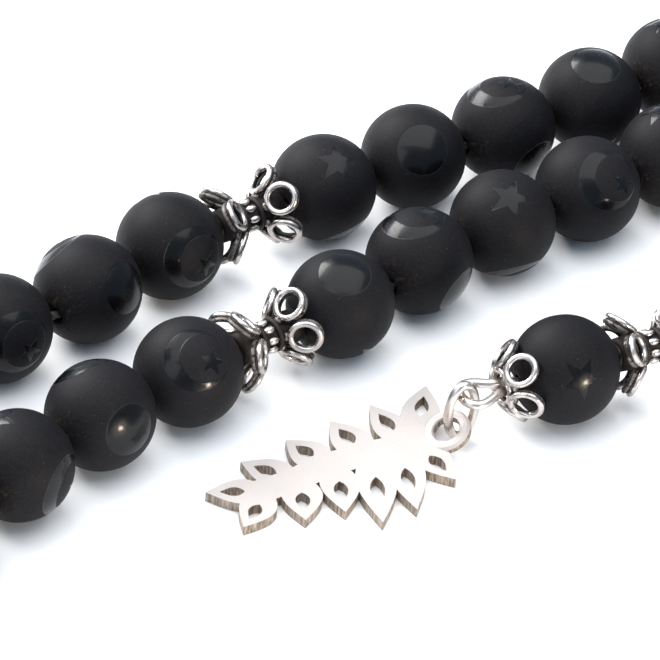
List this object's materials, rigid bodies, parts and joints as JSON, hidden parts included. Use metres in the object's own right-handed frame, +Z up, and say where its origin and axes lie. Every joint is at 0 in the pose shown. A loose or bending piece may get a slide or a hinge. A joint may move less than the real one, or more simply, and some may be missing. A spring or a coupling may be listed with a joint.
{
  "type": "prayer bead string",
  "caption": "Misbaha: round frosted stone beads on one knotted cord, with flower bead caps, a leader and a short beaded tail ending in a pierced pendant.",
  "frame": {"origin": "middle of the bounding box's footprint, on the table top", "axes": "+X along the strands toward the leader, +Y toward the last section, +Z up"},
  "size_m": [0.1592, 0.056, 0.011],
  "materials": {
    "frosted_stone": "frosted black stone with a soft sheen and small polished motifs",
    "nylon_cord": "tightly twisted black nylon",
    "aged_silver": "bright silver-coloured metal with blackened recesses",
    "satin_silver": "fine satin face, darker striated cut edges"
  },
  "bodies": {
    "strung_leader": {"stringing_cord": "nylon_cord", "leader": "frosted_stone", "leader_cap_tail": "aged_silver", "leader_cap_mouth": "aged_silver"},
    "bead_01_body": {"bead_01": "frosted_stone"},
    "bead_02_body": {"bead_02": "frosted_stone"},
    "bead_03_body": {"bead_03": "frosted_stone"},
    "bead_04_body": {"bead_04": "frosted_stone"},
    "bead_05_body": {"bead_05": "frosted_stone"},
    "bead_06_body": {"bead_06": "frosted_stone"},
    "bead_07_body": {"bead_07": "frosted_stone"},
    "bead_08_body": {"bead_08": "frosted_stone"},
    "bead_09_body": {"bead_09": "frosted_stone"},
    "bead_10_body": {"bead_10": "frosted_stone"},
    "bead_11_body": {"bead_11": "frosted_stone"},
    "bead_12_body": {"bead_12": "frosted_stone"},
    "bead_13_body": {"bead_13": "frosted_stone"},
    "bead_14_body": {"bead_14": "frosted_stone"},
    "bead_15_body": {"bead_15": "frosted_stone"},
    "bead_16_body": {"bead_16": "frosted_stone"},
    "bead_17_body": {"bead_17": "frosted_stone"},
    "bead_18_body": {"bead_18": "frosted_stone"},
    "bead_19_body": {"bead_19": "frosted_stone"},
    "bead_20_body": {"bead_20": "frosted_stone"},
    "bead_21_body": {"bead_21": "frosted_stone"},
    "bead_22_body": {"bead_22": "frosted_stone"},
    "bead_23_body": {"bead_23": "frosted_stone"},
    "bead_24_body": {"bead_24": "frosted_stone"},
    "bead_25_body": {"bead_25": "frosted_stone"},
    "bead_26_body": {"bead_26": "frosted_stone"},
    "bead_27_body": {"bead_27": "frosted_stone"},
    "bead_28_body": {"bead_28": "frosted_stone"},
    "bead_29_body": {"bead_29": "frosted_stone"},
    "bead_30_body": {"bead_30": "frosted_stone"},
    "bead_31_body": {"bead_31": "frosted_stone"},
    "bead_32_body": {"bead_32": "frosted_stone"},
    "separator_1_body": {"separator_1": "aged_silver"},
    "separator_2_body": {"separator_2": "aged_silver"},
    "bead_33_body": {"bead_33": "frosted_stone"},
    "linking_ring_body": {"linking_ring": "aged_silver"},
    "tail_link_body": {"eye_pin": "aged_silver", "tail_cap_pendant": "aged_silver", "tail_cap_leader": "aged_silver"},
    "tail_bead_1_body": {"tail_bead_1": "frosted_stone"},
    "tail_bead_2_body": {"tail_bead_2": "frosted_stone"},
    "tail_separator_body": {"tail_separator": "aged_silver"},
    "pendant_ring_body": {"pendant_ring": "aged_silver"},
    "pendant_body": {"pendant": "satin_silver"}
  },
  "joints": [
    {"name": "tail_lift", "type": "hinge", "parent": "strung_leader", "child": "linking_ring_body", "pos_m": [0.02196, -0.01597, 0.0055], "axis": [0.1771, 0.9842, 0], "range_deg": [0, 60]},
    {"name": "tail_swing", "type": "hinge", "parent": "linking_ring_body", "child": "tail_link_body", "pos_m": [0.01945, -0.01552, 0.005], "axis": [0, 0, 1], "range_deg": [-2, 35]},
    {"name": "pendant_ring_swivel", "type": "hinge", "parent": "tail_link_body", "child": "pendant_ring_body", "pos_m": [-0.01559, -0.00921, 0.0034], "axis": [0, 0, 1], "range_deg": [-4, 24]},
    {"name": "pendant_lift", "type": "hinge", "parent": "pendant_ring_body", "child": "pendant_body", "pos_m": [-0.01696, -0.00897, 0.0022], "axis": [0.1771, 0.9842, 0], "range_deg": [0, 45]},
    {"name": "bead_33_count", "type": "slide", "parent": "strung_leader", "child": "bead_33_body", "axis": [-0.1392, -0.9903, 0], "range_m": [0, 0.012]},
    {"name": "separator_1_spin", "type": "hinge", "parent": "strung_leader", "child": "separator_1_body", "pos_m": [-0.02697, 0.00725, 0.005], "axis": [-0.9996, -0.0279, 0], "continuous": true},
    {"name": "separator_2_spin", "type": "hinge", "parent": "strung_leader", "child": "separator_2_body", "pos_m": [-0.01782, 0.0225, 0.005], "axis": [0.9997, -0.0227, 0], "continuous": true},
    {"name": "bead_01_spin", "type": "hinge", "parent": "strung_leader", "child": "bead_01_body", "pos_m": [0.05822, -0.01771, 0.005], "axis": [0.7332, 0.68, 0], "continuous": true},
    {"name": "bead_02_spin", "type": "hinge", "parent": "strung_leader", "child": "bead_02_body", "pos_m": [0.062, -0.00835, 0.005], "axis": [-0.055, 0.9985, 0], "continuous": true},
    {"name": "bead_03_spin", "type": "hinge", "parent": "strung_leader", "child": "bead_03_body", "pos_m": [0.05956, 0.00145, 0.005], "axis": [-0.4556, 0.8902, 0], "continuous": true},
    {"name": "bead_04_spin", "type": "hinge", "parent": "strung_leader", "child": "bead_04_body", "pos_m": [0.05205, 0.00821, 0.005], "axis": [-0.8695, 0.4939, 0], "continuous": true},
    {"name": "bead_05_spin", "type": "hinge", "parent": "strung_leader", "child": "bead_05_body", "pos_m": [0.04217, 0.01031, 0.005], "axis": [-0.9994, 0.0337, 0], "continuous": true},
    {"name": "bead_06_spin", "type": "hinge", "parent": "strung_leader", "child": "bead_06_body", "pos_m": [0.03213, 0.00925, 0.005], "axis": [-0.9957, -0.0927, 0], "continuous": true},
    {"name": "bead_07_spin", "type": "hinge", "parent": "strung_leader", "child": "bead_07_body", "pos_m": [0.02204, 0.00873, 0.005], "axis": [-0.9975, -0.0706, 0], "continuous": true},
    {"name": "bead_08_spin", "type": "hinge", "parent": "strung_leader", "child": "bead_08_body", "pos_m": [0.01194, 0.0089, 0.005], "axis": [-0.9952, -0.0982, 0], "continuous": true},
    {"name": "bead_09_spin", "type": "hinge", "parent": "strung_leader", "child": "bead_09_body", "pos_m": [0.00184, 0.00908, 0.005], "axis": [-0.9684, 0.2492, 0], "continuous": true},
    {"name": "bead_10_spin", "type": "hinge", "parent": "strung_leader", "child": "bead_10_body", "pos_m": [-0.00825, 0.00873, 0.005], "axis": [-0.9431, -0.3326, 0], "continuous": true},
    {"name": "bead_11_spin", "type": "hinge", "parent": "strung_leader", "child": "bead_11_body", "pos_m": [-0.01827, 0.0075, 0.005], "axis": [-0.9953, -0.0968, 0], "continuous": true},
    {"name": "bead_12_spin", "type": "hinge", "parent": "strung_leader", "child": "bead_12_body", "pos_m": [-0.03567, 0.00701, 0.005], "axis": [-0.9989, -0.046, 0], "continuous": true},
    {"name": "bead_13_spin", "type": "hinge", "parent": "strung_leader", "child": "bead_13_body", "pos_m": [-0.04574, 0.0063, 0.005], "axis": [-0.9998, -0.0175, 0], "continuous": true},
    {"name": "bead_14_spin", "type": "hinge", "parent": "strung_leader", "child": "bead_14_body", "pos_m": [-0.05569, 0.00455, 0.005], "axis": [-0.9061, -0.423, 0], "continuous": true},
    {"name": "bead_15_spin", "type": "hinge", "parent": "strung_leader", "child": "bead_15_body", "pos_m": [-0.06549, 0.00211, 0.005], "axis": [-0.9993, 0.0364, 0], "continuous": true},
    {"name": "bead_16_spin", "type": "hinge", "parent": "strung_leader", "child": "bead_16_body", "pos_m": [-0.07464, 0.00638, 0.005], "axis": [-0.5495, 0.8355, 0], "continuous": true},
    {"name": "bead_17_spin", "type": "hinge", "parent": "strung_leader", "child": "bead_17_body", "pos_m": [-0.07464, 0.01648, 0.005], "axis": [0.4696, 0.8829, 0], "continuous": true},
    {"name": "bead_18_spin", "type": "hinge", "parent": "strung_leader", "child": "bead_18_body", "pos_m": [-0.06668, 0.02269, 0.005], "axis": [0.9347, 0.3554, 0], "continuous": true},
    {"name": "bead_19_spin", "type": "hinge", "parent": "strung_leader", "child": "bead_19_body", "pos_m": [-0.05659, 0.02287, 0.005], "axis": [0.9383, -0.3459, 0], "continuous": true},
    {"name": "bead_20_spin", "type": "hinge", "parent": "strung_leader", "child": "bead_20_body", "pos_m": [-0.04664, 0.02112, 0.005], "axis": [0.9857, -0.1684, 0], "continuous": true},
    {"name": "bead_21_spin", "type": "hinge", "parent": "strung_leader", "child": "bead_21_body", "pos_m": [-0.03655, 0.02147, 0.005], "axis": [0.945, 0.3271, 0], "continuous": true},
    {"name": "bead_22_spin", "type": "hinge", "parent": "strung_leader", "child": "bead_22_body", "pos_m": [-0.02652, 0.0227, 0.005], "axis": [0.9987, -0.0513, 0], "continuous": true},
    {"name": "bead_23_spin", "type": "hinge", "parent": "strung_leader", "child": "bead_23_body", "pos_m": [-0.00912, 0.02231, 0.005], "axis": [0.9893, 0.1457, 0], "continuous": true},
    {"name": "bead_24_spin", "type": "hinge", "parent": "strung_leader", "child": "bead_24_body", "pos_m": [0.00095, 0.0216, 0.005], "axis": [0.9911, -0.1333, 0], "continuous": true},
    {"name": "bead_25_spin", "type": "hinge", "parent": "strung_leader", "child": "bead_25_body", "pos_m": [0.01099, 0.02055, 0.005], "axis": [0.9986, 0.0523, 0], "continuous": true},
    {"name": "bead_26_spin", "type": "hinge", "parent": "strung_leader", "child": "bead_26_body", "pos_m": [0.02107, 0.01984, 0.005], "axis": [0.952, -0.3061, 0], "continuous": true},
    {"name": "bead_27_spin", "type": "hinge", "parent": "strung_leader", "child": "bead_27_body", "pos_m": [0.03116, 0.01949, 0.005], "axis": [0.9936, 0.1128, 0], "continuous": true},
    {"name": "bead_28_spin", "type": "hinge", "parent": "strung_leader", "child": "bead_28_body", "pos_m": [0.04108, 0.02142, 0.005], "axis": [0.9938, 0.1111, 0], "continuous": true},
    {"name": "bead_29_spin", "type": "hinge", "parent": "strung_leader", "child": "bead_29_body", "pos_m": [0.05105, 0.023, 0.005], "axis": [0.9942, 0.1075, 0], "continuous": true},
    {"name": "bead_30_spin", "type": "hinge", "parent": "strung_leader", "child": "bead_30_body", "pos_m": [0.06093, 0.0209, 0.005], "axis": [0.9009, -0.434, 0], "continuous": true},
    {"name": "bead_31_spin", "type": "hinge", "parent": "strung_leader", "child": "bead_31_body", "pos_m": [0.06889, 0.01468, 0.005], "axis": [0.7239, -0.6899, 0], "continuous": true},
    {"name": "bead_32_spin", "type": "hinge", "parent": "strung_leader", "child": "bead_32_body", "pos_m": [0.07363, 0.00576, 0.005], "axis": [0.277, -0.9609, 0], "continuous": true},
    {"name": "tail_bead_1_spin", "type": "hinge", "parent": "tail_link_body", "child": "tail_bead_1_body", "pos_m": [-0.00668, -0.01082, 0.005], "axis": [0.9842, -0.1771, 0], "continuous": true},
    {"name": "tail_bead_2_spin", "type": "hinge", "parent": "tail_link_body", "child": "tail_bead_2_body", "pos_m": [0.01044, -0.0139, 0.005], "axis": [0.9842, -0.1771, 0], "continuous": true},
    {"name": "tail_separator_spin", "type": "hinge", "parent": "tail_link_body", "child": "tail_separator_body", "pos_m": [0.00188, -0.01236, 0.005], "axis": [0.9842, -0.1771, 0], "continuous": true}
  ]
}
